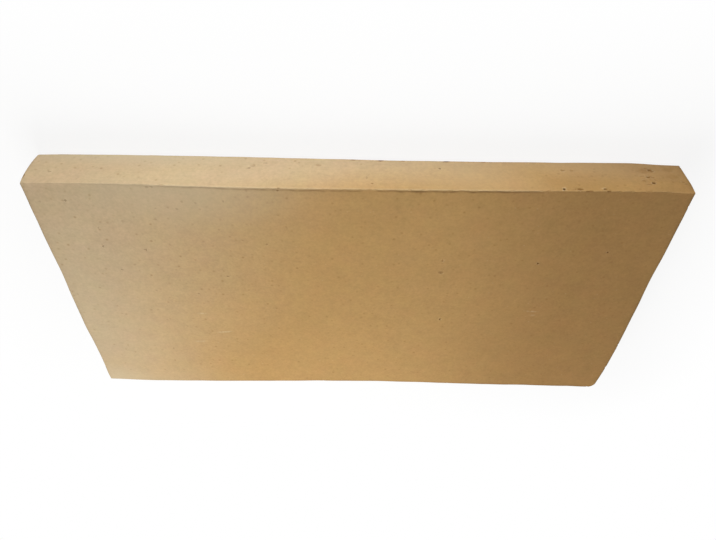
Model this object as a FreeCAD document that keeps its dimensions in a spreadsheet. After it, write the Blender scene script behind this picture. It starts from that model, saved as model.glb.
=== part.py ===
# Refractory firebrick slab, fired in one piece from fireclay and lying flat on its lower bed face.
# Millimetres. X runs along the length, Y across the width from the front long side (-Y) to the
# back one (+Y), and Z up. The origin is the middle of the lower bed face.
import FreeCAD
import Part
import Sketcher
import os

PARTS_FOLDER = "parts"
LABEL = "firebrick"
TOUCHING = 1e-6  # millimetres: closer than this counts as the same place

# Driving dimensions: alias, value in millimetres, what it is.
SIZES = [
    ("slab_length", 400.0, "end to end"),
    ("slab_width", 200.0, "front long side to back long side, at the ends"),
    ("slab_thickness", 30.0, "lower bed face to upper bed face"),
    ("front_hollow", 1.8, "how far drying drew in the middle of the front long side"),
    ("back_hollow", 2.4, "how far drying drew in the middle of the back long side"),
    ("arris_radius", 1.0, "rounding of every arris and of the three sound corners"),
    ("worn_corner_radius", 5.0, "rounding of the one worn corner, at the -X end of the back side"),
]


def make_sheet(doc):
    """The spreadsheet that holds the driving dimensions, one aliased cell for each."""
    sheet = doc.addObject("Spreadsheet::Sheet", "sizes")
    for row, (alias, value, meaning) in enumerate(SIZES, start=1):
        sheet.set(f"A{row}", meaning)
        sheet.set(f"B{row}", str(value))
        sheet.setAlias(f"B{row}", alias)
    doc.recompute()
    return sheet


def origin_plane(body, role):
    """One of the body's own origin planes, by its role."""
    return next(plane for plane in body.Origin.OriginFeatures if plane.Role == role)


def arc_radius(hollow):
    """Expression for the radius of a long side's arc, from its chord and how far it is drawn in."""
    return f"(sizes.slab_length ^ 2 / 4 + sizes.{hollow} ^ 2) / (2 * sizes.{hollow})"


def draw_plan(body, sheet):
    """Plan outline: two straight ends joined by two long sides that are slightly hollow."""
    sketch = body.newObject("Sketcher::SketchObject", "plan_outline")
    sketch.AttachmentSupport = [(origin_plane(body, "XY_Plane"), "")]
    sketch.MapMode = "FlatFace"

    half_length = sheet.slab_length / 2
    half_width = sheet.slab_width / 2
    front_left = FreeCAD.Vector(-half_length, -half_width, 0)
    front_right = FreeCAD.Vector(half_length, -half_width, 0)
    back_right = FreeCAD.Vector(half_length, half_width, 0)
    back_left = FreeCAD.Vector(-half_length, half_width, 0)
    front_middle = FreeCAD.Vector(0, -half_width + sheet.front_hollow, 0)
    back_middle = FreeCAD.Vector(0, half_width - sheet.back_hollow, 0)

    # An arc is stored turning anticlockwise about its centre, which here lies outside the slab.
    front = sketch.addGeometry(Part.ArcOfCircle(front_right, front_middle, front_left))
    right = sketch.addGeometry(Part.LineSegment(front_right, back_right))
    back = sketch.addGeometry(Part.ArcOfCircle(back_left, back_middle, back_right))
    left = sketch.addGeometry(Part.LineSegment(back_left, front_left))

    start, end, origin = 1, 2, (-1, 1)
    for first, second in [
        ((front, start), (right, start)),
        ((right, end), (back, end)),
        ((back, start), (left, start)),
        ((left, end), (front, end)),
    ]:
        sketch.addConstraint(Sketcher.Constraint("Coincident", *first, *second))
    sketch.addConstraint(Sketcher.Constraint("Vertical", right))
    sketch.addConstraint(Sketcher.Constraint("Vertical", left))
    sketch.addConstraint(Sketcher.Constraint("Horizontal", front, end, front, start))
    sketch.addConstraint(Sketcher.Constraint("Horizontal", back, start, back, end))
    sketch.addConstraint(Sketcher.Constraint("Symmetric", left, end, right, end, *origin))

    for name, constraint, expression in [
        ("length", ("DistanceX", front, end, front, start, sheet.slab_length), "sizes.slab_length"),
        ("width", ("DistanceY", right, start, right, end, sheet.slab_width), "sizes.slab_width"),
        ("front_arc", ("Radius", front, sketch.Geometry[front].Radius), arc_radius("front_hollow")),
        ("back_arc", ("Radius", back, sketch.Geometry[back].Radius), arc_radius("back_hollow")),
    ]:
        index = sketch.addConstraint(Sketcher.Constraint(*constraint))
        sketch.renameConstraint(index, name)
        sketch.setExpression(f"Constraints.{name}", expression)
    return sketch


def edge_names(shape, wanted):
    """Names of the edges of a shape that pass a test on the edge."""
    return [f"Edge{number}" for number, edge in enumerate(shape.Edges, start=1) if wanted(edge)]


def is_upright(edge):
    """True for an edge that runs straight up."""
    box = edge.BoundBox
    return box.XLength < TOUCHING and box.YLength < TOUCHING


def at_worn_corner(edge):
    """True in the quarter of the slab that holds the worn corner: the -X end of the back side."""
    middle = edge.CenterOfMass
    return middle.x < 0 < middle.y


def is_level(edge):
    """True for an edge of the lower or the upper bed face."""
    return edge.BoundBox.ZLength < TOUCHING


def round_edges(doc, body, name, base, edges, alias):
    """A fillet on named edges of a feature, with its radius bound to one size."""
    fillet = body.newObject("PartDesign::Fillet", name)
    fillet.Base = (base, edges)
    fillet.setExpression("Radius", f"sizes.{alias}")
    doc.recompute()
    return fillet


def make_slab(doc, sheet):
    """The slab: the plan raised to its thickness, one corner worn round, then every arris eased."""
    body = doc.addObject("PartDesign::Body", "Firebrick")
    body.Label = LABEL
    sketch = draw_plan(body, sheet)
    doc.recompute()

    block = body.newObject("PartDesign::Pad", "block")
    block.Profile = sketch
    block.setExpression("Length", "sizes.slab_thickness")
    doc.recompute()

    worn_edge = edge_names(block.Shape, lambda edge: is_upright(edge) and at_worn_corner(edge))
    worn = round_edges(doc, body, "worn_corner", block, worn_edge, "worn_corner_radius")

    sharp = edge_names(
        worn.Shape, lambda edge: is_level(edge) or (is_upright(edge) and not at_worn_corner(edge))
    )
    round_edges(doc, body, "eased_arrises", worn, sharp, "arris_radius")
    return body


def check_document(doc, bodies):
    """Stops before anything is written if a feature failed or a shape isn't one valid solid."""
    for item in doc.Objects:
        failed = {"Invalid", "Error"} & set(item.State)
        if failed:
            raise RuntimeError(f"{item.Name} is {sorted(failed)}")
    for body in bodies:
        shape = body.Shape
        if shape.isNull() or not shape.isValid() or len(shape.Solids) != 1:
            raise RuntimeError(f"{body.Label} isn't one valid solid")


def main():
    doc = FreeCAD.newDocument("firebrick_slab")
    sheet = make_sheet(doc)
    bodies = [make_slab(doc, sheet)]
    doc.recompute()
    check_document(doc, bodies)
    os.makedirs(PARTS_FOLDER, exist_ok=True)
    for body in bodies:
        body.Shape.exportStep(os.path.join(PARTS_FOLDER, f"{body.Label}.step"))
        box = body.Shape.optimalBoundingBox()
        print(
            f"{body.Label}: {box.XLength:.3f} x {box.YLength:.3f} x {box.ZLength:.3f} mm,",
            f"x {box.XMin:.3f} to {box.XMax:.3f}, y {box.YMin:.3f} to {box.YMax:.3f}, z {box.ZMin:.3f},",
            f"volume {body.Shape.Volume / 1000:.2f} cm3, {len(body.Shape.Faces)} faces",
        )


main()
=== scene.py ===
"""Fired fireclay slab: the finish and the worn arrises of one refractory firebrick, on a pale studio floor.

Laid out as an add-on: the panel lists the slab and the stage, and main() makes both in that order.
Blender's lengths are metres, and places on the slab are listed in millimetres. X runs along the slab,
-Y is its front long side, +Z its upper bed face, and the origin is the middle of its lower bed face.
"""

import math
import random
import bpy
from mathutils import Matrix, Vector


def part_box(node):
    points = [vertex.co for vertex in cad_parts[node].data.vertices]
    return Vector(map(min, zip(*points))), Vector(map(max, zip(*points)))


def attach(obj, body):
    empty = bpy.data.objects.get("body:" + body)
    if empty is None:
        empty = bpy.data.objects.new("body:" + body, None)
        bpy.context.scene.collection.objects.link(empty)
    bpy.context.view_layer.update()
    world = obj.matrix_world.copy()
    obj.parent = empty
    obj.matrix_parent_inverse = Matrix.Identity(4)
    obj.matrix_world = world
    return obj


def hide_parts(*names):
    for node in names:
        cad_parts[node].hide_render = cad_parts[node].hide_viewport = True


bl_info = {
    "name": "Fireclay slab",
    "version": (1, 0, 0),
    "blender": (4, 5, 0),
    "location": "3D View > Sidebar > Firebrick",
    "description": "Makes a fired fireclay slab and sets it on a studio floor",
    "category": "Object",
}

from collections import namedtuple

import bmesh
import bpy
import numpy as np
from bpy.props import FloatProperty, FloatVectorProperty, IntProperty, PointerProperty
from mathutils import Matrix, Vector, noise
from mathutils.bvhtree import BVHTree

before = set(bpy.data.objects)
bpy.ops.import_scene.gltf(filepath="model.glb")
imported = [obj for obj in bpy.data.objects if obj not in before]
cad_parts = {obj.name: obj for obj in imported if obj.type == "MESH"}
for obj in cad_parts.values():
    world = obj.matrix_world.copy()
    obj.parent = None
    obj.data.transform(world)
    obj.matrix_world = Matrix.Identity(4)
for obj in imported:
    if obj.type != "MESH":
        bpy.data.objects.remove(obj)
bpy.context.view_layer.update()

MM = 0.001
NODE = "firebrick"
LOW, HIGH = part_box(NODE)
HALF = np.array((HIGH - LOW) / 2)
MIDDLE = np.array((HIGH + LOW) / 2)

# Sides of the slab, each as its axis and the way it faces along it.
FRONT, BACK = (1, -1), (1, 1)
LEFT, RIGHT = (0, -1), (0, 1)
BED, TOP = (2, -1), (2, 1)
SIDES = [FRONT, BACK, LEFT, RIGHT, BED, TOP]

# A pit is burnt-out iron or a torn spot. Its middle is given along its side's two other axes, then its half
# lengths and depth, all in millimetres, and how far it shows iron and torn brown clay, from 0 to 1. With no
# depth it is a smudge.
Pit = namedtuple("Pit", "side first second half_first half_second depth iron torn", defaults=[0])
# A chip is broken off the arris between two sides. Its middle along the arris, length and depth are in
# millimetres, and fresh says how far its clay looks newly broken, from 0 to 1. Where it is 0, it is wear,
# and lean says how far that leans to the first of the two sides.
Chip = namedtuple("Chip", "sides along length depth fresh lean", defaults=[0.5])
# A scuff is a pale scrape on the upper bed face, from start to end, with its width, in millimetres.
Scuff = namedtuple("Scuff", "start end width strength")
# A lit patch is a soft pale patch of painted light, where more light falls on the slab. It is placed as a
# pit is.
LitPatch = namedtuple("LitPatch", "side first second half_first half_second strength")

FRONT_PITS = [
    Pit(FRONT, -121.8, 28.2, 1, 1, 1, 0.85),
    Pit(FRONT, -146.4, 27.9, 1.3, 1.1, 0.5, 0.5, 0.4),
    Pit(FRONT, -131.3, 28.1, 2, 1.1, 0.3, 0.2, 0.9),
    Pit(FRONT, -127.6, 28.6, 2, 0.7, 0.2, 0, 0.3),
    Pit(FRONT, -177.5, 6.3, 1.3, 0.8, 0.3, 0.1, 0.45),
    Pit(FRONT, -179.2, 8.2, 1.3, 0.8, 0.5, 0.3, 0.9),
    Pit(FRONT, -180.5, 9.2, 1.3, 0.8, 0.3, 0.15, 0.8),
    Pit(FRONT, -177.3, 8.6, 4.6, 2.8, 0.05, 0, 0.4),
    Pit(FRONT, -174.9, 11, 1.8, 1, 0.2, 0, 0.45),
    Pit(FRONT, -171.3, 9.7, 1.4, 1.2, 0.1, 0, 0.25),
    Pit(FRONT, -176, 15.6, 1.3, 1, 0.5, 0.25, 0.75),
    Pit(FRONT, -178.6, 15.6, 1.2, 0.9, 0.3, 0.1, 0.5),
    Pit(FRONT, -172.3, 14.5, 1.4, 0.8, 0.2, 0, 0.25),
    Pit(FRONT, -179.6, 18.5, 1, 0.8, 0.2, 0, 0.3),
    Pit(FRONT, -172.3, 19.4, 1.3, 1.2, 0.2, 0, 0.4),
    Pit(FRONT, -177.4, 21.6, 1.1, 0.8, 0.6, 0.75, 0.8),
    Pit(FRONT, -174.3, 22.8, 1.5, 0.8, 0.2, 0.05, 0.35),
    Pit(FRONT, -190.5, 8, 3.2, 2.2, 0.1, 0, 0.25),
    Pit(FRONT, -191, 15, 3.5, 2.5, 0.1, 0, 0.2),
    Pit(FRONT, -195.5, 20.7, 0.9, 0.7, 0.2, 0.15, 0.4),
    Pit(FRONT, -196.6, 22.4, 0.8, 0.6, 0.2, 0.1, 0.3),
    Pit(FRONT, 67.6, 11.4, 1.1, 0.9, 0.3, 0.33),
    Pit(FRONT, 65.4, 9.4, 1.9, 0.9, 0.3, 0.2),
    Pit(FRONT, 58.2, 6.3, 1.4, 0.7, 0.3, 0.14),
    Pit(FRONT, 25.3, 7.3, 2.2, 0.9, 0.2, 0, 0.3),
    Pit(FRONT, -4.4, 18.9, 0.5, 1.7, 0.2, 0.25),
    Pit(FRONT, -7.6, 24.4, 0.9, 0.6, 0.2, 0.45),
    Pit(FRONT, -49.6, 8.4, 0.9, 0.8, 0.4, 0.5),
    Pit(FRONT, -125.5, 8.9, 1.4, 1, 0.3, 0.15, 0.3),
    Pit(FRONT, -131, 9.1, 1.2, 1, 0.2, 0.1, 0.3),
    Pit(FRONT, -133, 21, 24, 9, 0, 0, 0.16),
    Pit(FRONT, 184.9, 20, 1, 0.8, 0.3, 0.2),
    Pit(FRONT, -13.2, 1, 1.6, 0.9, 0.2, 0.45, 0.6),
    Pit(FRONT, 4.2, 0.9, 1.6, 0.6, 0.2, 0.1, 0.5),
    Pit(FRONT, -27.3, 0.9, 1.4, 0.6, 0.2, 0.2, 0.5),
    Pit(FRONT, -54.4, 0.9, 1.7, 0.7, 0.2, 0.65, 0.6),
    Pit(FRONT, -77.8, 1, 1.4, 0.6, 0.2, 0.1, 0.4),
]

TOP_PITS = [
    Pit(TOP, -119.3, -39.7, 0.8, 0.8, 0.3, 0.8),
    Pit(TOP, -60.8, 18.5, 0.8, 0.9, 0.3, 0.7),
    Pit(TOP, 177.1, -86.3, 1, 0.9, 0.3, 0.3),
    Pit(TOP, -56, -29.9, 1.6, 1.3, 0.15, 0.33),
    Pit(TOP, -56.1, -41.1, 0.9, 0.9, 0.3, 0.34),
    Pit(TOP, 164.6, -49.3, 0.8, 0.8, 0.3, 0.3),
    Pit(TOP, 87.6, -23.4, 1, 0.7, 0.3, 0.32),
    Pit(TOP, 137.8, -46.8, 1, 0.8, 0.3, 0.22),
    Pit(TOP, 58.6, -53.8, 0.8, 0.7, 0.2, 0.3),
    Pit(TOP, 110.3, -5.5, 0.9, 0.9, 0.2, 0.17),
    Pit(TOP, -162.5, -50.6, 0.8, 0.7, 0.3, 0.3),
    Pit(TOP, 157.8, -28.1, 0.9, 0.8, 0.2, 0.22),
    Pit(TOP, 163.3, -65.1, 0.6, 0.7, 0.2, 0.22),
    Pit(TOP, 126.1, -73.2, 1.5, 1.1, 0.2, 0.16),
    Pit(TOP, 146.4, -71.2, 1.3, 1, 0.2, 0.1),
    Pit(TOP, 125.8, -98.3, 1, 0.5, 0.2, 0.25),
    Pit(TOP, 122.9, -98.2, 0.8, 0.5, 0.2, 0.25),
    Pit(TOP, 48.6, -98.2, 0.8, 0.7, 0.2, 0.3, 0.3),
    Pit(TOP, 111, -82, 0.8, 0.7, 0.1, 0.2),
    Pit(TOP, 99, -87, 0.8, 0.7, 0.1, 0.2),
    Pit(TOP, 97, -82, 0.7, 0.7, 0.1, 0.15),
    Pit(TOP, 82, -89, 0.7, 0.8, 0.1, 0.2),
    Pit(TOP, 124, -82, 0.8, 0.7, 0.1, 0.15),
    Pit(TOP, 69, -44, 0.7, 0.7, 0.1, 0.15),
    Pit(TOP, 139, -8, 0.8, 0.8, 0.1, 0.15),
    Pit(TOP, 138, 23, 0.8, 0.9, 0.1, 0.15),
    Pit(TOP, 140, 57, 0.9, 0.9, 0.1, 0.15),
    Pit(TOP, 149, 59, 0.8, 0.8, 0.1, 0.1),
    Pit(TOP, 193, -85, 0.8, 0.7, 0.1, 0.15),
    Pit(TOP, 195, -3, 0.8, 0.8, 0.1, 0.2),
    Pit(TOP, 74, -57, 0.7, 0.7, 0.1, 0.15),
    Pit(TOP, 45, -68, 0.7, 0.7, 0.1, 0.1),
]

LISTED_CHIPS = [
    Chip((FRONT, TOP), -130.9, 3, 0.3, 0.4),
    Chip((FRONT, TOP), -136.6, 4.6, 0.5, 0.9),
    Chip((FRONT, TOP), -148.3, 2.4, 0.6, 1),
    Chip((FRONT, TOP), -112.4, 2.4, 0.4, 0.4),
    Chip((FRONT, TOP), -108.6, 3, 0.4, 0.2),
    Chip((FRONT, TOP), -155.2, 2.4, 0.4, 0.3),
    Chip((FRONT, TOP), -162, 4, 0.4, 0.15),
    Chip((FRONT, TOP), -171.5, 5.5, 0.4, 0.1),
    Chip((FRONT, TOP), -184, 4.5, 0.5, 0.15),
    Chip((FRONT, TOP), -91, 2.5, 0.4, 0.1),
    Chip((FRONT, TOP), -64.5, 2, 0.4, 0.1),
    Chip((FRONT, TOP), -56, 3.5, 0.4, 0.1),
    Chip((FRONT, TOP), -38.5, 2.5, 0.4, 0.1),
    Chip((FRONT, TOP), -30, 3, 0.4, 0.1),
    Chip((FRONT, TOP), 47.9, 1.8, 0.4, 0.7),
    Chip((FRONT, TOP), 117, 3, 0.3, 0.2),
    Chip((FRONT, TOP), 204, 170, 1.2, 0, 0.85),
    Chip((FRONT, TOP), 204, 70, 1.5, 0, 0.85),
    Chip((FRONT, TOP), -204, 60, 1.5, 0, 0.85),
    Chip((FRONT, BED), 204, 150, 1.1, 0),
    Chip((FRONT, BED), 204, 50, 1.6, 0),
    Chip((FRONT, BED), -204, 70, 2, 0),
    Chip((BACK, RIGHT), 30, 90, 1.7, 0, 0.97),
    Chip((RIGHT, BACK), 30, 140, 1, 0, 0.96),
    Chip((RIGHT, TOP), 70, 66, 1.15, 0, 0.9),
    Chip((RIGHT, TOP), -24, 40, 0.6, 0, 0.9),
    Chip((LEFT, TOP), -24, 40, 0.7, 0, 0.9),
]

SCUFFS = [
    Scuff((114.3, 15.8), (107.8, 15.6), 1.1, 0.42),
    Scuff((103.5, 37.2), (91.6, 35.6), 1, 0.5),
    Scuff((122.1, 48.3), (112.9, 47.6), 1.4, 0.28),
    Scuff((-120, 7.9), (-130.4, 8.7), 1.1, 0.28),
    Scuff((-125, 12.4), (-130.4, 12.7), 1.1, 0.22),
]

# Pale patches of painted light: towards the +X end of the upper bed face and along the front side.
LIT_PATCHES = [
    LitPatch(TOP, 105, -102, 95, 45, 0.34),
    LitPatch(TOP, 205, 35, 100, 130, 0.2),
    LitPatch(TOP, 190, 110, 120, 55, 0.24),
    LitPatch(TOP, 200, 108, 70, 50, 0.5),
    LitPatch(FRONT, -70, 15, 70, 40, 0.2),
    LitPatch(FRONT, 140, 0, 130, 16, 0.55),
    LitPatch(FRONT, -142, 2, 92, 27, 0.2),
]

# Places along the slab, in millimetres: where the mould lip thins out, where it is broken away, where its
# crease deepens and is bridged, where drying twisted the front side most and drew in the back side most,
# and where the painted shade along the arrises grows darker.
LIP_THINS = (105, 130)
LIP_BROKEN = (-106, -111)
CREASE_DEEPENS = (90, 0)
CREASE_BRIDGE, BRIDGE_REACH = -6, 6
LEAN_PLACE, LEAN_REACH = 60, 70
BACK_HOLLOW_PLACE, BACK_HOLLOW_REACH = -5, 85
ARRIS_SHADE_GROWS = (50, -150)
# The back side's hollow is narrower than the CAD solid's arc, and deeper by this factor.
BACK_HOLLOW_DEEPER = 1.3
# How far across the slab from its middle, in millimetres, one end starts to be drawn in and the other to
# swell, and how far in from the ends that reaches.
END_DRAW_START, END_BELLY_START, END_REACH = 50, 60, 30
# How steeply that draw grows, and from where to where, in millimetres towards the -X end, the back side
# swells in two small steps.
END_DRAW_CURVE, BACK_SWELLS = 1.9, ((130, 165), (176, 190))
# How far apart the slab's swells, waves and lumps are, in millimetres.
FACE_SWELL, ARRIS_WAVE, ROUNDING_WAVE = 70, 16, 22
LIP_LUMP, LIP_GRAIN, CREASE_WAVE = 9, 3, 6
CHIP_GRAIN, SCUFF_GRAIN, ARRIS_SHADE_PATCH = 0.7, 1.6, 12
# How far from an arris, in millimetres, its waves, its lip and its painted shade reach, how far round the
# front arrises there is less painted shade or none, and from where to where it sets in again round the worn
# corner.
WAVE_REACH, LIP_REACH, ARRIS_SHADE_REACH, THIN_ARRIS_SHADE_REACH = 2.5, 6, 1.0, 0.5
UNSHADED_REACH, UNSHADED_CORNER = 4, (2, 9)
# How dark the painted shade along the arrises is at the +X end and at the -X end, from 0 to 1.
ARRIS_SHADE_LEAST, ARRIS_SHADE_MOST = 0.45, 0.85
# An arris's rounding: its usual share of arris_radius, how far that strays, the least share, and how much
# of it the lip takes away.
ROUNDING_USUAL, ROUNDING_STRAYS, ROUNDING_LEAST, LIP_SHARPENS = 0.7, 0.3, 0.2, 0.65
# How much of the lip is gone where it thins out and where it is broken away. Then its usual share of
# lip_height, how far its lumps and grains stray from that, its least and greatest share, and its overhang.
LIP_THINNED, LIP_LOST = 0.65, 0.8
LIP_USUAL, LIP_STRAYS, LIP_LEAST, LIP_MOST, LIP_OVERHANG = 0.85, 0.5, 0.1, 1.6, 0.4
# The crease, as shares of crease_inset: how much nearer the arris it runs at the ends, how far it strays,
# its nearest place and its half width. Then its depth to lip_height, the share of that where it is shallow,
# and how far down the front side it may reach, in millimetres.
CREASE_NEARER, CREASE_STRAYS, CREASE_NEAREST, CREASE_WIDTH = 1.1, 0.35, 0.4, 0.4
CREASE_DEPTH, CREASE_SHALLOW, CREASE_DOWN = 0.5, 0.6, 0.3
# A chip's bites: place, length and depth as shares of the chip's, and lean. Then the greatest depth to
# length, how softly wear and a break end, as shares of the depth, and a break's roughness in millimetres.
BITE_PLACE, BITE_LENGTH, BITE_DEPTH, BITE_LEAN = (-0.38, 0.38), (0.3, 0.6), (0.5, 1.0), (0.2, 0.8)
BITE_DEEPEST, WEAR_SOFT, BREAK_SOFT, BREAK_ROUGH = 0.35, 0.4, 0.02, 0.12
# A pit's ragged outline: how far it strays, how wide its waves are, as shares of the pit, and their seed.
# Then its rim, and where its iron and torn clay end and how softly, as shares of its radius or depth.
RAGGED = ((0.45, 0.9, 11), (0.3, 0.35, 13))
RIM_PLACE, RIM_WIDTH, RIM_HEIGHT = 1.2, 0.25, 0.15
IRON_END, IRON_SOFT, TORN_END, TORN_SOFT = 1.15, 0.5, 1.5, 1.0
# How chalky rims are, how bright the painted highlight on the lip's crest is, and how dark the painted
# shade in the crease is, from 0 to 1.
RIM_CHALK, CREST_HIGHLIGHT, CREASE_SHADE = 0.8, 0.25, 0.65
# Points this near a face of the sharp box, in millimetres, lie on it.
ON_FACE = 0.1
# Scattered pits: half width, depth and length to that, and iron. Scattered nicks: least depth, how much
# deeper, and length to depth. Both keep to a share of their side or arris.
SMALL_PIT_HALF, SMALL_PIT_DEEP = (0.35, 0.75), 0.5
SMALL_PIT_LONG, SMALL_PIT_IRON = (0.9, 1.5), (0.1, 0.5)
NICK_DEPTH, NICK_DEEPER, NICK_LONG = 0.2, 0.5, (3, 6)
PIT_SPREAD, NICK_SPREAD = 0.97, 0.98
# Mesh edges: how many fit half a pit, then the shortest on a chip, a scuff and the lip, in millimetres.
PIT_EDGES, CHIP_EDGE, SCUFF_EDGE, LIP_EDGE = 4.5, 0.15, 0.4, 0.7


def linear(hex_colour):
    """Linear red, green and blue of an sRGB colour written as six hex digits."""
    channels = [int(hex_colour[start : start + 2], 16) / 255 for start in (0, 2, 4)]
    return [c / 12.92 if c <= 0.04045 else ((c + 0.055) / 1.055) ** 2.4 for c in channels]


def length(name, description, millimetres):
    """A length that a user may change, with its default given in millimetres."""
    return FloatProperty(name=name, description=description, default=millimetres * MM, min=0, unit="LENGTH")


def colour(name, description, hex_colour):
    """A colour that a user may change, with its default given as an sRGB hex value."""
    return FloatVectorProperty(
        name=name, description=description, default=linear(hex_colour), min=0, max=1, subtype="COLOR"
    )


def side_hollow(side):
    """How far drying drew in the middle of a long side, in metres, measured on the CAD solid."""
    skin = BVHTree.FromObject(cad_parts[NODE], bpy.context.evaluated_depsgraph_get())
    outward = Vector((0, side[1], 0))
    hit = skin.ray_cast(Vector(MIDDLE) + outward * 2 * HALF[1], -outward)[0]
    return HALF[1] - abs(hit.y - MIDDLE[1])


class SlabForm(bpy.types.PropertyGroup):
    """Sizes of the slab's arrises and of the damage on them"""

    arris_radius: length("Arris radius", "Rounding of every arris and of the two sharp corners", 1.0)
    worn_corner_radius: length("Worn corner", "Rounding of the corner at the -X end of the back", 4.8)
    blunt_corner_radius: length("Blunt corner", "Rounding of the corner at the +X end of the front", 3.0)
    front_hollow: length("Front hollow", "How far the front side is drawn in", side_hollow(FRONT) / MM)
    back_hollow: length("Back hollow", "How far the back side is drawn in", side_hollow(BACK) / MM)
    front_lean: length("Front lean", "How far the front side leans back where drying twisted it most", 0.7)
    end_draw: length("End draw", "How far the -X end is worn in beside the worn corner", 3.1)
    back_swell: length("Back swell", "How far each step of the back side swells", 0.4)
    end_belly: length("End belly", "How far the +X end swells halfway up its front corner", 1.3)
    lip_height: length("Lip height", "Height of the mould lip along the front upper arris", 0.35)
    lip_width: length("Lip width", "Half the width of that lip", 0.7)
    crease_inset: length("Crease", "How far behind the front upper arris the lip's crease lies", 1.4)
    wander: length("Arris wander", "How far an arris strays from its straight line", 0.2)
    warp: length("Warp", "How far the faces swell and dip", 0.1)
    small_pits: IntProperty(name="Small pits", description="Pits on the other sides", default=80, min=0)
    small_chips: IntProperty(name="Small chips", description="Nicks on other arrises", default=70, min=0)
    seed: IntProperty(name="Seed", description="Which scatter of pits and nicks is drawn", default=4)


class FireclayFinish(bpy.types.PropertyGroup):
    """Colours of the fired clay"""

    # Pale, golden and brown are partly painted light: the pale +X end and paler front side stand in for
    # cool light falling there.
    pale: colour("Pale clay", "Where the kiln fired it least", "C2AB88")
    golden: colour("Golden clay", "Where the kiln fired it more", "B48F5A")
    brown: colour("Brown clay", "Where the kiln fired it most", "A27D4C")
    broken: colour("Broken clay", "Inside of chips and torn spots, and small specks", "8C6638")
    iron: colour("Iron", "Burnt iron specks", "563610")
    # Chalk also paints a highlight along the lip's crest.
    chalk_and_highlight: colour("Chalk and highlight", "Pale scuffs and rubbed edges", "DCCBA6")
    # This colour paints light: the pale patches where more light falls on the slab.
    lit_patch: colour("Lit patch", "Pale bloom where salts dried out of the clay", "CABDA0")
    # This colour paints shade: in the lip's crease and along the arrises, where they round away from the
    # light.
    painted_shade: colour("Painted shade", "Dust that settled in creases and along the arrises", "6B5030")


class StudioStage(bpy.types.PropertyGroup):
    """The floor, the lamps and the camera"""

    floor: colour("Floor", "Pale studio floor", "F4F3F1")
    sky: FloatProperty(name="Sky", description="Even light from all round", default=0.11, min=0)
    lens: FloatProperty(name="Lens", description="Focal length", default=30.38, min=1, unit="CAMERA")


# The slab's shape: a box cut into a grid, finer near the marks, then eased, worn and pitted


def graded(half, first, growth, widest):
    """Positions from -half to half, first apart at both ends and spread to widest in the middle."""
    inset = [0.0]
    step = first
    while inset[-1] + 1.5 * step < half:
        inset.append(inset[-1] + step)
        step = min(step * growth, widest)
    ends = half - np.array(inset)
    return np.concatenate([-ends, [0.0], ends[::-1]])


def sharp_box(lines):
    """Corners and quads of a box cut into a grid along three lists of positions."""
    counts = [len(axis_lines) for axis_lines in lines]
    grid = np.indices(counts).reshape(3, -1).T
    last = np.array(counts) - 1
    skin = ((grid == 0) | (grid == last)).any(axis=1)
    number = np.full(len(grid), -1)
    number[skin] = np.arange(skin.sum())
    number = number.reshape(counts)
    points = np.stack([lines[axis][grid[skin, axis]] for axis in range(3)], axis=1)
    quads = []
    for axis, facing in SIDES:
        sheet = np.take(number, 0 if facing < 0 else -1, axis=axis)
        loop = [sheet[:-1, :-1], sheet[1:, :-1], sheet[1:, 1:], sheet[:-1, 1:]]
        turned = facing * (-1 if axis == 1 else 1) < 0
        quads.append(np.stack(loop[::-1] if turned else loop, axis=-1).reshape(-1, 4))
    return points, np.concatenate(quads)


def ripple(points, size, seed):
    """Smooth noise at each point, about -1 to 1, with swells about size apart."""
    shift = Vector((seed * 7.31, seed * 3.77, seed * 5.13))
    return np.array([noise.noise(Vector(point) / size + shift) for point in points])


def patchy(points, size, seed, usual, strays, least=0):
    """A share from least to 1 that strays from the usual one, in patches about size apart."""
    return np.clip(usual + strays * ripple(points, size, seed), least, 1)


def smooth_step(value, low, high):
    """0 before low, 1 past high, and a smooth rise between; low may be the larger."""
    share = np.clip((value - low) / (high - low), 0, 1)
    return share * share * (3 - 2 * share)


def hump(value, width):
    """1 at nought, falling smoothly away on both sides to about a third at width."""
    return np.exp(-((value / width) ** 2))


def on_side(side, first, second):
    """Place on a side of the sharp box, from two millimetre positions in the order of the other axes."""
    axis, facing = side
    place = np.insert(np.array([first, second]) * MM, axis, 0.0) - MIDDLE
    place[axis] = facing * HALF[axis]
    return place


def on_arris(sides, along):
    """Place on the sharp arris between two sides, from its millimetre position along it."""
    run = ({0, 1, 2} - {axis for axis, facing in sides}).pop()
    place = np.zeros(3)
    place[run] = along * MM - MIDDLE[run]
    for axis, facing in sides:
        place[axis] = facing * HALF[axis]
    return place


def scattered_pits(count, dice):
    """Small pits over the sides that have no list of pits, as many on each as its area calls for."""
    sides = [BACK, LEFT, RIGHT, BED]
    areas = [np.prod(np.delete(HALF, axis)) for axis, facing in sides]
    pits = []
    for side in dice.choices(sides, areas, k=count):
        reach = np.delete(HALF, side[0]) / MM
        middle = np.delete(MIDDLE, side[0]) / MM
        first, second = [m + dice.uniform(-PIT_SPREAD, PIT_SPREAD) * r for m, r in zip(middle, reach)]
        half = dice.uniform(*SMALL_PIT_HALF)
        longer = half * dice.uniform(*SMALL_PIT_LONG)
        iron = dice.uniform(*SMALL_PIT_IRON)
        pits.append(Pit(side, first, second, longer, half, half * SMALL_PIT_DEEP, iron))
    return pits


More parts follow.
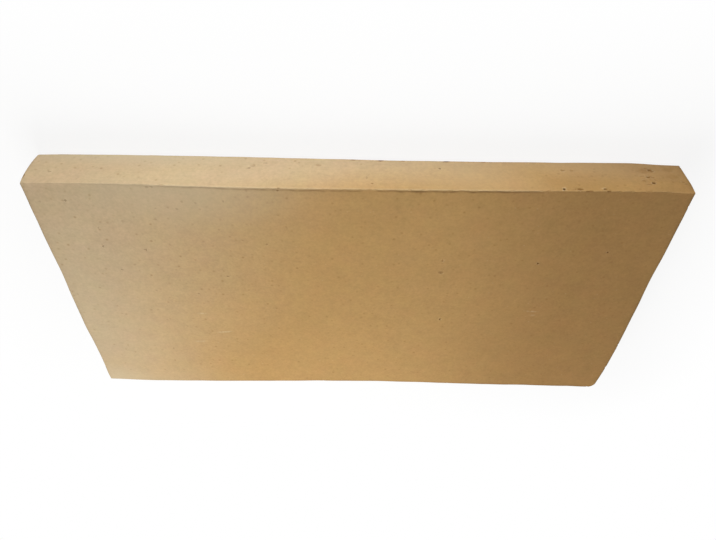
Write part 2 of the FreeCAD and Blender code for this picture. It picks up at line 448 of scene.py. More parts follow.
def scattered_chips(count, dice):
    """Small nicks on all but the front side's two long arrises, as many on each as its length calls for."""
    arrises = [(a, b) for a in SIDES for b in SIDES if a[0] < b[0] and (a != FRONT or b[0] != 2)]
    runs = [({0, 1, 2} - {a[0], b[0]}).pop() for a, b in arrises]
    chips = []
    for number in dice.choices(range(len(arrises)), [HALF[run] for run in runs], k=count):
        run = runs[number]
        along = (MIDDLE[run] + dice.uniform(-NICK_SPREAD, NICK_SPREAD) * HALF[run]) / MM
        depth = NICK_DEPTH + NICK_DEEPER * dice.random() ** 3
        chips.append(Chip(arrises[number], along, depth * dice.uniform(*NICK_LONG), depth, dice.random()))
    return chips


def lip_strength(points):
    """How much of the mould lip is left along the front upper arris, from 0 to 1."""
    along = points[:, 0] / MM
    thinned = LIP_THINNED * smooth_step(along, *LIP_THINS)
    lost = LIP_LOST * smooth_step(along, *LIP_BROKEN)
    return (1 - thinned) * (1 - lost)


def near_front_arris(points, bed_face, reach):
    """Closeness to the arris between the front side and a bed face: 1 on it, and fading out at reach."""
    axis, facing = bed_face
    gap = np.hypot(points[:, 1] + HALF[1], points[:, 2] - facing * HALF[2])
    return 1 - smooth_step(gap, 0.4 * reach, reach)


def arris_radii(points, form):
    """Rounding of the nearest arris at each point: uneven all round, and sharper where the lip stands."""
    uneven = ROUNDING_USUAL + ROUNDING_STRAYS * ripple(points, ROUNDING_WAVE * MM, 3)
    sharper = 1 - LIP_SHARPENS * lip_strength(points) * near_front_arris(points, TOP, LIP_REACH * MM)
    return form.arris_radius * np.clip(uneven * sharper, ROUNDING_LEAST, 1)


def plan_corners(points, form):
    """For each rounded upright corner of the plan: its points, their reach from its centre and the rest."""
    radii = {(-1, 1): form.worn_corner_radius, (1, -1): form.blunt_corner_radius}
    for turn in ((-1, -1), (-1, 1), (1, -1), (1, 1)):
        radius = radii.get(turn, form.arris_radius)
        centre = HALF[:2] - radius
        across = points[:, :2] * turn - centre
        inside = (across > 0).all(axis=1)
        yield inside, across[inside], radius, centre, np.array(turn)


def eased(points, form):
    """Points of the sharp box moved onto the slab as drying and wear left it, with the way out at each."""
    moved = points.copy()
    for inside, across, radius, centre, turn in plan_corners(points, form):
        drawn = across * (across.max(axis=1) / np.hypot(*across.T))[:, None]
        moved[inside, :2] = (drawn + centre) * turn
    rows = np.arange(len(points))
    gap = HALF[:2] - np.abs(moved[:, :2])
    nearest = gap.argmin(axis=1)
    inset = gap.min(axis=1)
    outward = np.zeros_like(moved)
    outward[rows, nearest] = np.sign(moved[rows, nearest])
    for inside, across, radius, centre, turn in plan_corners(moved, form):
        reach = np.hypot(*across.T)
        inset[inside] = radius - reach
        outward[inside, :2] = across / reach[:, None] * turn
    upward = np.zeros_like(moved)
    upward[:, 2] = np.sign(moved[:, 2])
    radius = arris_radii(points, form)
    out = np.clip(radius - np.maximum(inset, 0), 0, None)
    rise = np.clip(radius - HALF[2] + np.abs(moved[:, 2]), 0, None)
    reach = np.hypot(out, rise)
    both = (out > 0) & (rise > 0)
    moved += np.where(both, radius * out / reach - out, 0)[:, None] * outward
    moved += np.where(both, radius * rise / reach - rise, 0)[:, None] * upward
    normal = (out / reach)[:, None] * outward + (rise / reach)[:, None] * upward
    share = moved[:, 1] / HALF[1]
    front = form.front_hollow * (1 - (moved[:, 0] / HALF[0]) ** 2)
    front += form.front_lean * hump(moved[:, 0] / MM - LEAN_PLACE, LEAN_REACH) * moved[:, 2] / HALF[2]
    back = hump(moved[:, 0] / MM - BACK_HOLLOW_PLACE, BACK_HOLLOW_REACH)
    back *= BACK_HOLLOW_DEEPER * form.back_hollow
    for step in BACK_SWELLS:
        back -= form.back_swell * smooth_step(-moved[:, 0] / MM, *step)
    moved[:, 1] -= share * np.where(share < 0, front, back)
    at_end = smooth_step(np.abs(points[:, 0]), HALF[0] - END_REACH * MM, HALF[0])
    inward = np.clip(points[:, 1] / MM - END_DRAW_START, 0, None) / (HALF[1] / MM - END_DRAW_START)
    drawn = form.end_draw * inward**END_DRAW_CURVE
    swollen = form.end_belly * smooth_step(-points[:, 1], END_BELLY_START * MM, HALF[1])
    swollen *= 1 - (points[:, 2] / HALF[2]) ** 2
    moved[:, 0] += at_end * np.where(points[:, 0] < 0, drawn, swollen)
    return moved, normal


def warp(moved, points, normal, arris_gap, form):
    """Lets the faces swell and the arrises wander; the lower bed face only dips, to rest on the floor."""
    swell = form.warp * ripple(points, FACE_SWELL * MM, 1)
    swell += form.wander * ripple(points, ARRIS_WAVE * MM, 2) * hump(arris_gap, WAVE_REACH * MM)
    swell = np.where(normal[:, 2] < -0.1, -np.abs(swell), swell)
    moved += normal * swell[:, None]


def raise_lip(moved, points, form):
    """Raises the mould lip on the front upper arris; returns how far each point is crest or crease."""
    along = points[:, 0] / MM
    inward = points[:, 1] + HALF[1]
    downward = HALF[2] - points[:, 2]
    lumpy = LIP_USUAL + LIP_STRAYS * ripple(points, LIP_LUMP * MM, 5)
    lumpy += LIP_STRAYS * ripple(points, LIP_GRAIN * MM, 8)
    on_lip = lip_strength(points) * np.clip(lumpy, LIP_LEAST, LIP_MOST)
    crest = on_lip * hump(inward, form.lip_width) * hump(downward, form.lip_width)
    behind = 1.0 - CREASE_NEARER * (points[:, 0] / HALF[0]) ** 2
    behind += CREASE_STRAYS * ripple(points, CREASE_WAVE * MM, 6)
    wavy = form.crease_inset * np.clip(behind, CREASE_NEAREST, None)
    deeper = CREASE_SHALLOW + (1 - CREASE_SHALLOW) * smooth_step(along, *CREASE_DEEPENS)
    deeper *= smooth_step(np.abs(along - CREASE_BRIDGE), BRIDGE_REACH / 2, BRIDGE_REACH)
    crease = deeper * on_lip * hump(inward - wavy, CREASE_WIDTH * form.crease_inset)
    crease *= downward < CREASE_DOWN * MM
    moved[:, 2] += form.lip_height * (crest - CREASE_DEPTH * crease)
    moved[:, 1] -= LIP_OVERHANG * form.lip_height * crest
    return crest, crease


def chip_bites(chip, dice):
    """The round bites that make a chip: one for wear, and a ragged row of them for a break."""
    if chip.fresh == 0:
        return [(0, chip.length, chip.depth, chip.lean)]
    return [
        (
            dice.uniform(*BITE_PLACE) * chip.length,
            dice.uniform(*BITE_LENGTH) * chip.length,
            dice.uniform(*BITE_DEPTH) * chip.depth,
            dice.uniform(*BITE_LEAN),
        )
        for _ in range(4 + int(chip.length / 2))
    ]


def carve_chips(moved, chips, form, dice):
    """Bites the chips out of the arrises; returns how freshly broken each point is, from 0 to 1."""
    broken = np.zeros(len(moved))
    for chip in chips:
        for offset, bite_length, bite_depth, lean in chip_bites(chip, dice):
            place = eased(on_arris(chip.sides, chip.along + offset)[None], form)[0][0]
            outward = np.zeros(3)
            for (axis, facing), share in zip(chip.sides, (lean, 1 - lean)):
                outward[axis] = facing * share
            outward /= np.linalg.norm(outward)
            depth = min(bite_depth, BITE_DEEPEST * bite_length) * MM
            radius = ((bite_length * MM / 2) ** 2 + depth**2) / (2 * depth)
            offset = moved - place
            height = offset @ outward
            aside = np.linalg.norm(offset - height[:, None] * outward, axis=1)
            near = np.flatnonzero((aside < 0.98 * radius) & (np.abs(height) < radius))
            rough = BREAK_ROUGH * MM * ripple(moved[near], CHIP_GRAIN * MM, 7) * min(1, chip.fresh + 0.2)
            floor = radius - depth - np.sqrt(radius**2 - aside[near] ** 2) + rough
            soft = (WEAR_SOFT if chip.fresh == 0 else BREAK_SOFT) * depth
            above = height[near] - floor
            scoop = np.where(above < soft, np.clip(above + soft, 0, None) ** 2 / (4 * soft), above)
            moved[near] -= scoop[:, None] * outward
            broken[near] = np.maximum(broken[near], chip.fresh * smooth_step(scoop, 0, 0.25 * depth))
    return broken


def sink_pits(moved, points, normal, pits):
    """Sinks the pits and pushes up their rims; returns how far each point is iron, torn clay and rim."""
    iron, torn, rim = np.zeros((3, len(moved)))
    for pit in pits:
        halves = np.array([pit.half_first, pit.half_second]) * MM
        place = on_side(pit.side, pit.first, pit.second)
        reach = np.insert(2 * halves, pit.side[0], 0.01 * MM)
        near = np.flatnonzero((np.abs(points - place) < reach).all(axis=1))
        across = np.delete(points[near] - place, pit.side[0], axis=1) / halves
        widest = halves.max()
        ragged = sum(strays * ripple(points[near], size * widest, seed) for strays, size, seed in RAGGED)
        ring = np.hypot(*across.T) * (1 + ragged)
        bowl = np.clip(1 - ring**2, 0, 1)
        edge = hump(ring - RIM_PLACE, RIM_WIDTH)
        moved[near] += normal[near] * ((RIM_HEIGHT * edge - bowl) * pit.depth * MM)[:, None]
        iron[near] = np.maximum(iron[near], pit.iron * smooth_step(IRON_END - ring, 0, IRON_SOFT))
        torn[near] = np.maximum(torn[near], pit.torn * smooth_step(TORN_END - ring, 0, TORN_SOFT))
        edge *= patchy(points[near], 1.3 * widest, 12, usual=0.35, strays=1.3)
        rim[near] = np.maximum(rim[near], min(1, pit.depth) * edge)
    return iron, torn, rim


def scuff_strength(points):
    """How far a pale scrape marks each point of the upper bed face, from 0 to 1."""
    strength = np.zeros(len(points))
    rubbed = patchy(points, SCUFF_GRAIN * MM, 14, usual=0.65, strays=1.2)
    rubbed *= points[:, 2] > HALF[2] - ON_FACE * MM
    for scuff in SCUFFS:
        start = np.array(scuff.start) * MM
        run = np.array(scuff.end) * MM - start
        offset = points[:, :2] - start
        share = np.clip(offset @ run / (run @ run), 0, 1)
        gap = np.linalg.norm(offset - share[:, None] * run, axis=1)
        mark = (1 - smooth_step(gap, 0, scuff.width * MM)) * np.sin(math.pi * np.clip(share, 0.08, 0.92))
        strength = np.maximum(strength, scuff.strength * mark * rubbed)
    return strength


def lit_patch_strength(points):
    """How far a soft pale patch of painted light covers each point, from 0 to 1."""
    strength = np.zeros(len(points))
    for painted_light in LIT_PATCHES:
        axis, facing = painted_light.side
        halves = np.array([painted_light.half_first, painted_light.half_second]) * MM
        offset = points - on_side(painted_light.side, painted_light.first, painted_light.second)
        ring = np.hypot(*(np.delete(offset, axis, axis=1) / halves).T)
        on_it = facing * points[:, axis] > HALF[axis] - ON_FACE * MM
        strength = np.maximum(strength, painted_light.strength * on_it * (1 - smooth_step(ring, 0, 1)))
    return strength


def arris_shade_strength(points, arris_gap):
    """How dark the painted shade along the arrises is: more to the -X end, and none on the lip or the worn
    corner.
    """
    thick = ARRIS_SHADE_LEAST + (ARRIS_SHADE_MOST - ARRIS_SHADE_LEAST) * smooth_step(points[:, 0] / MM, *ARRIS_SHADE_GROWS)
    thick *= patchy(points, ARRIS_SHADE_PATCH * MM, 15, usual=0.75, strays=0.6, least=0.4)
    thick *= 1 - near_front_arris(points, TOP, UNSHADED_REACH * MM)
    corner_gap = np.hypot(points[:, 0] + HALF[0], points[:, 1] - HALF[1])
    thick *= smooth_step(corner_gap / MM, *UNSHADED_CORNER)
    thinner = near_front_arris(points, BED, UNSHADED_REACH * MM)
    fading = (ARRIS_SHADE_REACH + (THIN_ARRIS_SHADE_REACH - ARRIS_SHADE_REACH) * thinner) * MM
    return thick * np.exp(-arris_gap / fading)


def mesh_marks(pits, chips):
    """Where the mesh has to be fine: a place, how far round it, and the length of edge wanted there."""
    marks = []
    for pit in pits:
        reach = max(pit.half_first, pit.half_second) * MM
        marks.append((on_side(pit.side, pit.first, pit.second), 1.1 * reach, reach / PIT_EDGES))
    for chip in chips:
        fine = max(0.3 * chip.depth, 0.02 * chip.length, CHIP_EDGE) * MM
        marks.append((on_arris(chip.sides, chip.along), chip.length / 2 * MM, fine))
    for scuff in SCUFFS:
        start, end = np.array(scuff.start), np.array(scuff.end)
        for share in np.linspace(0, 1, 6):
            place = start + share * (end - start)
            marks.append((on_side(TOP, *place), scuff.width * MM, SCUFF_EDGE * MM))
    spacing = 2 * MM
    for along in np.arange(-HALF[0], HALF[0], spacing):
        marks.append((np.array([along, -HALF[1], HALF[2]]), spacing, LIP_EDGE * MM))
    return marks


def wanted_edges(middles, marks, coarse, spread):
    """Length that mesh edges should have at each place: fine on the marks and coarser away from them."""
    order = np.argsort(middles[:, 0])
    sorted_along = middles[order, 0]
    wanted = np.full(len(middles), coarse)
    for place, reach, fine in marks:
        far = reach + (coarse - fine) / spread
        first, last = np.searchsorted(sorted_along, [place[0] - far, place[0] + far])
        near = order[first:last]
        gap = np.linalg.norm(middles[near] - place, axis=1) - reach
        wanted[near] = np.minimum(wanted[near], fine + spread * np.clip(gap, 0, None))
    return wanted


def refine(mesh, marks, coarse, spread, passes):
    """Halves the edges that are too long for the marks nearby, until none is left or passes run out."""
    for _ in range(passes):
        edges = list(mesh.edges)
        ends = np.array([(*edge.verts[0].co, *edge.verts[1].co) for edge in edges])
        middles = (ends[:, :3] + ends[:, 3:]) / 2
        lengths = np.linalg.norm(ends[:, :3] - ends[:, 3:], axis=1)
        too_long = np.flatnonzero(lengths > 1.4 * wanted_edges(middles, marks, coarse, spread))
        if not len(too_long):
            break
        bmesh.ops.subdivide_edges(mesh, edges=[edges[i] for i in too_long], cuts=1, use_grid_fill=True)
    crooked = [face for face in mesh.faces if len(face.verts) > 4]
    bmesh.ops.triangulate(mesh, faces=crooked)


def worn_slab(form):
    """The slab's mesh, with how broken, iron-stained and chalky each point is, and its painted light,
    highlight and shade.
    """
    dice = random.Random(form.seed)
    pits = FRONT_PITS + TOP_PITS + scattered_pits(form.small_pits, dice)
    chips = LISTED_CHIPS + scattered_chips(form.small_chips, dice)
    corners, quads = sharp_box([graded(half, first=0.15 * MM, growth=1.3, widest=6 * MM) for half in HALF])
    data = bpy.data.meshes.new("fired_slab")
    data.from_pydata(corners.tolist(), [], quads.tolist())
    mesh = bmesh.new()
    mesh.from_mesh(data)
    refine(mesh, mesh_marks(pits, chips), coarse=12 * MM, spread=0.9, passes=7)
    mesh.to_mesh(data)
    mesh.free()

    points = np.array([vertex.co for vertex in data.vertices])
    arris_gap = np.sort(HALF - np.abs(points), axis=1)[:, 1]
    moved, normal = eased(points, form)
    warp(moved, points, normal, arris_gap, form)
    crest, crease = raise_lip(moved, points, form)
    broken = carve_chips(moved, chips, form, dice)
    iron, torn, rim = sink_pits(moved, points, normal, pits)
    looks = {
        # Beside the clay's own marks, these paint light and shade: lit patches, a highlight on the lip's
        # crest in the chalk, and shade in the lip's crease and along the arrises.
        "broken": np.maximum(broken, torn),
        "iron": iron,
        "painted_light": lit_patch_strength(points),
        "chalk_and_highlight": np.clip(scuff_strength(points) + RIM_CHALK * rim + CREST_HIGHLIGHT * crest, 0, 1),
        "painted_shade": np.clip(CREASE_SHADE * crease + arris_shade_strength(points, arris_gap), 0, 1),
    }
    data.vertices.foreach_set("co", (moved + MIDDLE).astype(np.float32).ravel())
    for name, values in looks.items():
        data.attributes.new(name, "FLOAT", "POINT").data.foreach_set("value", values.astype(np.float32))
    data.polygons.foreach_set("use_smooth", [True] * len(data.polygons))
    data.update()
    return data


class FIREBRICK_OT_fired_slab(bpy.types.Operator):
    """Make the fired slab with its worn arrises, pits and finish"""

    bl_idname = "firebrick.fired_slab"
    bl_label = "Fired slab"

    def execute(self, context):
        data = worn_slab(context.scene.slab_form)
        data.materials.append(fired_fireclay(context.scene.fireclay_finish))
        slab = bpy.data.objects.new("fired_slab", data)
        context.scene.collection.objects.link(slab)
        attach(slab, "root")
        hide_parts(NODE)
        return {"FINISHED"}


# The fired clay


def add_node(tree, kind, settings=None, inputs=None):
    """Adds a node, sets its options, and links or sets each input that is named or numbered."""
    node = tree.nodes.new(kind)
    for option, value in (settings or {}).items():
        setattr(node, option, value)
    for socket, value in (inputs or {}).items():
        if isinstance(value, bpy.types.NodeSocket):
            tree.links.new(value, node.inputs[socket])
        else:
            node.inputs[socket].default_value = value
    return node


def per_metre(millimetres):
    """Texture scale at which a pattern repeats about every so many millimetres."""
    return 1 / (millimetres * MM)


# How far the kiln fired the slab, partly real and partly painted light: the pale +X end and the paler front
# side stand in for the cool light that falls most on them. A colour sets in from start to end, in
# millimetres towards the
# -X end. It comes sooner by back_more for each millimetre towards the back, later by front_less on the
# front side, and later by deep_less for each millimetre below the upper bed face.
KilnAndLightTint = namedtuple("KilnAndLightTint", "start end back_more front_less deep_less")
GOLDEN_KILN_AND_LIGHT = KilnAndLightTint(-218, -24, 0.47, 38, 3.8)
BROWN_KILN_AND_LIGHT = KilnAndLightTint(29, 157, -0.03, 110, -1.5)
# The kiln's slow drift to and fro: how wide its swells are and how far it shifts a colour, in millimetres.
DRIFT_SIZE, DRIFT = 90, 40

# Grains of the pressed clay: width in millimetres, finer octaves in each, and how far they change its tone.
# Sand finer than the last of them is drawn as coarse as that, since a picture of the slab shows no less.
GRAINS = [(45, 3, 0.14), (9, 3, 0.13), (3.2, 2, 0.18), (1.6, 2, 0.16)]
# Patches where the kiln's gases tinted the clay, and streaks that the mould dragged along the front side.
PATCH, PATCH_TINT = 16, 0.07
STREAK_LENGTH, STREAK_WIDTH, STREAK_TONE = 70, 1.2, 0.10
# Balls in the clay: how far apart and how large they are, in millimetres. Each draws a chance from 0 to 1:
# it shows only past faintest, and would show whole at strongest.
Balls = namedtuple("Balls", "spacing radius faintest strongest")
GROG = Balls(5.0, 0.8, 0.35, 4.5)
SPECKS = Balls(4.5, 1.3, 0.35, 1.45)
# Bump of the grains too fine for the mesh: how much of it shows, and its height in millimetres.
BUMP_SHOWN, BUMP_HEIGHT = 0.3, 0.02


def fired_fireclay(finish):
    """Fired fireclay, press moulded and unglazed: a dry, matt, sandy buff, toasted unevenly by the kiln.
    Its colour also holds painted light: a paler +X end and front side, pale lit patches and a highlight on
    the lip's crest, and painted shade in the lip's crease and along the arrises.
    """
    material = bpy.data.materials.new("fired_fireclay_press_moulded")
    material.use_nodes = True
    tree = material.node_tree
    shader = tree.nodes["Principled BSDF"]
    shader.inputs["Roughness"].default_value = 0.9
    shader.inputs["Specular IOR Level"].default_value = 0.2
    place = add_node(tree, "ShaderNodeTexCoord").outputs
    names = ("pale", "golden", "brown", "broken", "iron", "chalk_and_highlight", "lit_patch", "painted_shade")
    pale, golden, brown, broken, iron, chalk_and_highlight, lit_patch, painted_shade = [(*getattr(finish, name), 1) for name in names]
    dot, times, scaled = [{"operation": name} for name in ("DOT_PRODUCT", "MULTIPLY", "MULTIPLY_ADD")]
    smooth = {"interpolation_type": "SMOOTHSTEP"}
    mixed = {"data_type": "RGBA"}

    # The kiln's colours along the slab, held back on the front side and stirred by a slow drift. The pale
    # +X end and the paler front side are partly painted light, where the cool light falls most.
    frontward = {0: place["Normal"], 1: (0, -1, 0)}
    facing = add_node(tree, "ShaderNodeVectorMath", dot, frontward).outputs["Value"]
    turned = {"Value": facing, "From Min": 0.2, "From Max": 0.9}
    on_front = add_node(tree, "ShaderNodeMapRange", smooth, turned).outputs["Result"]
    swells = {"Vector": place["Object"], "Scale": per_metre(DRIFT_SIZE), "Detail": 2.0}
    slow = add_node(tree, "ShaderNodeTexNoise", {}, swells).outputs["Fac"]
    drift = add_node(tree, "ShaderNodeMath", scaled, {0: slow, 1: DRIFT, 2: -DRIFT / 2}).outputs[0]
    from_top = {0: place["Object"], 1: (0, 0, HIGH[2])}
    below = add_node(tree, "ShaderNodeVectorMath", {"operation": "SUBTRACT"}, from_top).outputs["Vector"]
    clay = pale
    for over, kiln_and_light in ((golden, GOLDEN_KILN_AND_LIGHT), (brown, BROWN_KILN_AND_LIGHT)):
        run = (-1 / MM, kiln_and_light.back_more / MM, kiln_and_light.deep_less / MM)
        along = add_node(tree, "ShaderNodeVectorMath", dot, {0: below, 1: run}).outputs["Value"]
        held_back = {0: on_front, 1: -kiln_and_light.front_less, 2: along}
        fired = add_node(tree, "ShaderNodeMath", scaled, held_back).outputs[0]
        stirred = add_node(tree, "ShaderNodeMath", {"operation": "ADD"}, {0: fired, 1: drift}).outputs[0]
        sets_in = {"Value": stirred, "From Min": kiln_and_light.start, "From Max": kiln_and_light.end}
        share = add_node(tree, "ShaderNodeMapRange", smooth, sets_in).outputs["Result"]
        clay = add_node(tree, "ShaderNodeMix", mixed, {0: share, 6: clay, 7: over}).outputs[2]

    # The pressed clay's grains, from slow clouds down to sand, lighten and darken it a little.
    tone = 1 - sum(strength for size, detail, strength in GRAINS) / 2
    height = 0.0
    for size, detail, strength in GRAINS:
        swells = {"Vector": place["Object"], "Scale": per_metre(size), "Detail": detail}
        grain = add_node(tree, "ShaderNodeTexNoise", {}, swells).outputs["Fac"]
        tone = add_node(tree, "ShaderNodeMath", scaled, {0: grain, 1: strength, 2: tone}).outputs[0]
        height = add_node(tree, "ShaderNodeMath", scaled, {0: grain, 1: size, 2: height}).outputs[0]
    stretch = {0: place["Object"], 1: (per_metre(STREAK_LENGTH), 0, per_metre(STREAK_WIDTH))}
    stretched = add_node(tree, "ShaderNodeVectorMath", times, stretch).outputs["Vector"]
    swells = {"Vector": stretched, "Scale": 1.0, "Detail": 2.0}
    streak = add_node(tree, "ShaderNodeTexNoise", {}, swells).outputs["Fac"]
    both_ways = {0: streak, 1: STREAK_TONE, 2: -STREAK_TONE / 2}
    drag = add_node(tree, "ShaderNodeMath", scaled, both_ways).outputs[0]
    tone = add_node(tree, "ShaderNodeMath", scaled, {0: drag, 1: on_front, 2: tone}).outputs[0]
    swells = {"Vector": place["Object"], "Scale": per_metre(PATCH)}
    patch = add_node(tree, "ShaderNodeTexNoise", {}, swells).outputs["Color"]
    slight = {0: patch, 1: [PATCH_TINT] * 3, 2: [1 - PATCH_TINT / 2] * 3}
    tint = add_node(tree, "ShaderNodeVectorMath", scaled, slight).outputs["Vector"]
    shaded = {**mixed, "blend_type": "MULTIPLY"}
    for shade in (tone, tint):
        clay = add_node(tree, "ShaderNodeMix", shaded, {0: 1.0, 6: clay, 7: shade}).outputs[2]

    # Brown specks and crushed grog are balls all through the clay, and show where the surface cuts them.
    for over, balls in ((chalk_and_highlight, GROG), (broken, SPECKS)):
        edge = balls.radius / balls.spacing
        packed = {"Vector": place["Object"], "Scale": per_metre(balls.spacing)}
        cells = add_node(tree, "ShaderNodeTexVoronoi", {}, packed).outputs
        cut = {"Value": cells["Distance"], "From Min": edge, "From Max": 0.1 * edge}
        inside = add_node(tree, "ShaderNodeMapRange", smooth, cut).outputs["Result"]
        drawn = {"Value": cells["Color"], "From Min": balls.faintest, "From Max": balls.strongest}
        chance = add_node(tree, "ShaderNodeMapRange", {}, drawn).outputs["Result"]
        share = add_node(tree, "ShaderNodeMath", times, {0: inside, 1: chance}).outputs[0]
        clay = add_node(tree, "ShaderNodeMix", mixed, {0: share, 6: clay, 7: over}).outputs[2]

    # What the mesh says of each point: painted light in pale patches, broken clay, iron, painted shade, and
    # chalk with a painted highlight on the lip's crest.
    marks = {"painted_light": lit_patch, "broken": broken, "iron": iron, "painted_shade": painted_shade, "chalk_and_highlight": chalk_and_highlight}
    for name, over in marks.items():
        share = add_node(tree, "ShaderNodeAttribute", {"attribute_name": name}).outputs["Fac"]
        clay = add_node(tree, "ShaderNodeMix", mixed, {0: share, 6: clay, 7: over}).outputs[2]
    tree.links.new(clay, shader.inputs["Base Color"])

    # Grains too fine for the mesh stand up a little.
    relief = {"Strength": BUMP_SHOWN, "Distance": BUMP_HEIGHT * MM, "Height": height}
    bump = add_node(tree, "ShaderNodeBump", {}, relief)
    tree.links.new(bump.outputs["Normal"], shader.inputs["Normal"])
    return material


# The stage


# Soft square lamps: place and size in metres, and power.
Lamp = namedtuple("Lamp", "name place size watts")
LAMPS = [
    Lamp("front_lamp", (0.04, -0.48, 0.08), 0.30, 1.91),
    Lamp("back_lamp", (0.13, 0.32, 0.445), 0.40, 3.25),
    Lamp("left_lamp", (-0.75, 0.05, 0.07), 0.30, 0.90),
]
# The camera's place in millimetres, where it looks, and the way that is right in its picture.
CAMERA_PLACE = (3.8, -314.8, 318.1)
CAMERA_FORWARD = (-0.0103, 0.7021, -0.7120)
CAMERA_RIGHT = (-0.9998, -0.0180, -0.0032)
SENSOR_WIDTH = 36
# How far the floor reaches from the slab's middle and how far under the slab it lies, in metres.
FLOOR_REACH = 3.0
FLOOR_GAP = 0.1 * MM
# Beside the slab the floor shows this share of plain white and the rest takes the shadow, out to its reach.
SHADOW_REACH = 120 * MM
BESIDE_WHITE = 0.87


def shown_rays(tree):
    """1 for a ray that shows the stage itself: from the camera, or by way of gloss or glass."""
    path = add_node(tree, "ShaderNodeLightPath")
    shown = path.outputs["Is Camera Ray"]
    for other in ("Is Glossy Ray", "Is Transmission Ray"):
        settings = {"operation": "MAXIMUM"}
        shown = add_node(tree, "ShaderNodeMath", settings, {0: shown, 1: path.outputs[other]}).outputs[0]
    return shown


def matt_white_paint(stage):
    """Matt white studio paint: it shows white all round and keeps the slab's shadow close by."""
    material = bpy.data.materials.new("matt_white_paint")
    material.use_nodes = True
    tree = material.node_tree
    shader = tree.nodes["Principled BSDF"]
    shader.inputs["Base Color"].default_value = (*stage.floor, 1)
    shader.inputs["Roughness"].default_value = 1.0
    beyond = add_node(tree, "ShaderNodeTexCoord").outputs["Object"]
    for operation, inputs in (
        ("ABSOLUTE", {}),
        ("SUBTRACT", {1: (HALF[0], HALF[1], 0)}),
        ("MAXIMUM", {1: (0, 0, 0)}),
    ):
        inputs[0] = beyond
        beyond = add_node(tree, "ShaderNodeVectorMath", {"operation": operation}, inputs).outputs["Vector"]
    far = add_node(tree, "ShaderNodeVectorMath", {"operation": "LENGTH"}, {0: beyond}).outputs["Value"]
    smooth = {"interpolation_type": "SMOOTHSTEP"}
    whiter = {"Value": far, "From Min": 0, "From Max": SHADOW_REACH, "To Min": BESIDE_WHITE, "To Max": 1.0}
    white = add_node(tree, "ShaderNodeMapRange", smooth, whiter).outputs["Result"]
    seen = {0: shown_rays(tree), 1: white}
    share = add_node(tree, "ShaderNodeMath", {"operation": "MULTIPLY"}, seen).outputs[0]
    glow = add_node(tree, "ShaderNodeEmission", {}, {"Color": (1, 1, 1, 1), "Strength": 1.0})
    both = {0: share, 1: shader.outputs[0], 2: glow.outputs[0]}
    mix = add_node(tree, "ShaderNodeMixShader", {}, both)
    tree.links.new(mix.outputs[0], tree.nodes["Material Output"].inputs["Surface"])
    return material


def studio_world(stage):
    """Even white light from all round, which shows as plain white."""
    world = bpy.data.worlds.new("studio")
    world.use_nodes = True
    tree = world.node_tree
    light = tree.nodes["Background"]
    light.inputs["Color"].default_value = (1, 1, 1, 1)
    light.inputs["Strength"].default_value = stage.sky
    white = add_node(tree, "ShaderNodeBackground", {}, {"Color": (1, 1, 1, 1), "Strength": 1.0})
    both = {0: shown_rays(tree), 1: light.outputs[0], 2: white.outputs[0]}
    mix = add_node(tree, "ShaderNodeMixShader", {}, both)
    tree.links.new(mix.outputs[0], tree.nodes["World Output"].inputs["Surface"])
    return world


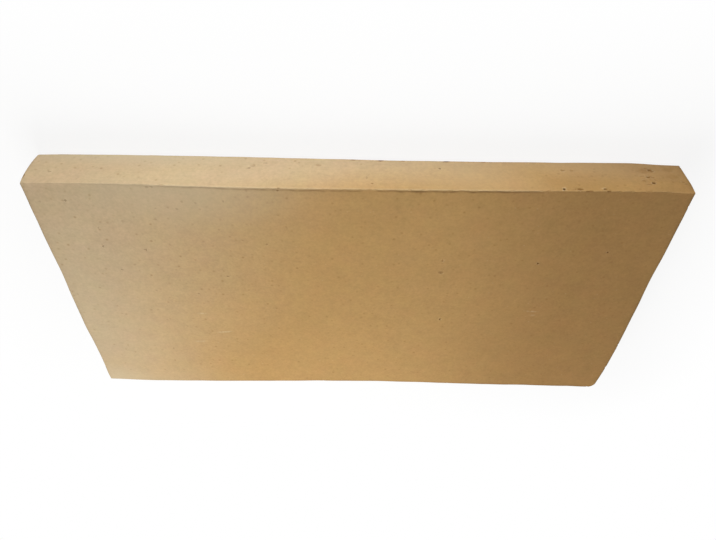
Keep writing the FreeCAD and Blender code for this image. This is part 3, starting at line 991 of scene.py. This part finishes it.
class FIREBRICK_OT_studio(bpy.types.Operator):
    """Set the slab on a pale floor, with soft lamps and the camera"""

    bl_idname = "firebrick.studio"
    bl_label = "Studio stage"

    def execute(self, context):
        scene = context.scene
        stage = scene.studio_stage
        scene.view_settings.view_transform = "Standard"
        scene.world = studio_world(stage)
        self.set_camera(scene, stage.lens)
        self.hang_lamps(scene)
        self.lay_floor(scene, stage)
        return {"FINISHED"}

    def set_camera(self, scene, lens):
        """Stands the camera where the slab's front side is nearest, with the picture turned half round."""
        data = bpy.data.cameras.new("camera")
        data.sensor_width = SENSOR_WIDTH
        data.lens = lens
        data.clip_start = 0.01
        camera = bpy.data.objects.new("camera", data)
        scene.collection.objects.link(camera)
        forward = Vector(CAMERA_FORWARD).normalized()
        right = Vector(CAMERA_RIGHT)
        right = (right - forward * right.dot(forward)).normalized()
        turn = Matrix((right, right.cross(forward), -forward)).transposed().to_4x4()
        camera.matrix_world = Matrix.Translation(Vector(CAMERA_PLACE) * MM) @ turn
        scene.camera = camera

    def hang_lamps(self, scene):
        """Hangs the soft lamps, each aimed at the middle of the slab and itself out of sight."""
        for lamp in LAMPS:
            light = bpy.data.lights.new(lamp.name, "AREA")
            light.energy = lamp.watts
            light.size = lamp.size
            holder = bpy.data.objects.new(lamp.name, light)
            holder.location = lamp.place
            holder.rotation_euler = (-holder.location).to_track_quat("-Z", "Y").to_euler()
            holder.visible_camera = False
            scene.collection.objects.link(holder)

    def lay_floor(self, scene, stage):
        """Lays the pale floor just under the slab."""
        plane = bpy.data.meshes.new("floor")
        corners = [(x * FLOOR_REACH, y * FLOOR_REACH, 0) for x, y in ((-1, -1), (1, -1), (1, 1), (-1, 1))]
        plane.from_pydata(corners, [], [(0, 1, 2, 3)])
        plane.materials.append(matt_white_paint(stage))
        floor = bpy.data.objects.new("floor", plane)
        floor.location.z = -FLOOR_GAP
        scene.collection.objects.link(floor)


class FIREBRICK_PT_sidebar(bpy.types.Panel):
    """Lists the slab's and the stage's settings, with a button for each"""

    bl_idname = "FIREBRICK_PT_sidebar"
    bl_label = "Firebrick"
    bl_space_type = "VIEW_3D"
    bl_region_type = "UI"
    bl_category = "Firebrick"

    def draw(self, context):
        scene = context.scene
        for operator, groups in (
            (FIREBRICK_OT_fired_slab, (scene.slab_form, scene.fireclay_finish)),
            (FIREBRICK_OT_studio, (scene.studio_stage,)),
        ):
            box = self.layout.box()
            box.operator(operator.bl_idname)
            for group in groups:
                for name in group.__annotations__:
                    box.prop(group, name)


SETTINGS = {"slab_form": SlabForm, "fireclay_finish": FireclayFinish, "studio_stage": StudioStage}
CLASSES = [*SETTINGS.values(), FIREBRICK_OT_fired_slab, FIREBRICK_OT_studio, FIREBRICK_PT_sidebar]


def register():
    """Registers the classes and the settings that each scene holds."""
    for item in CLASSES:
        bpy.utils.register_class(item)
    for name, group in SETTINGS.items():
        setattr(bpy.types.Scene, name, PointerProperty(type=group))


def unregister():
    """Takes the settings and the classes out again."""
    for name in SETTINGS:
        delattr(bpy.types.Scene, name)
    for item in reversed(CLASSES):
        bpy.utils.unregister_class(item)


def main():
    """Makes the slab and its stage."""
    register()
    bpy.ops.firebrick.fired_slab()
    bpy.ops.firebrick.studio()


if __name__ == "__main__":
    main()
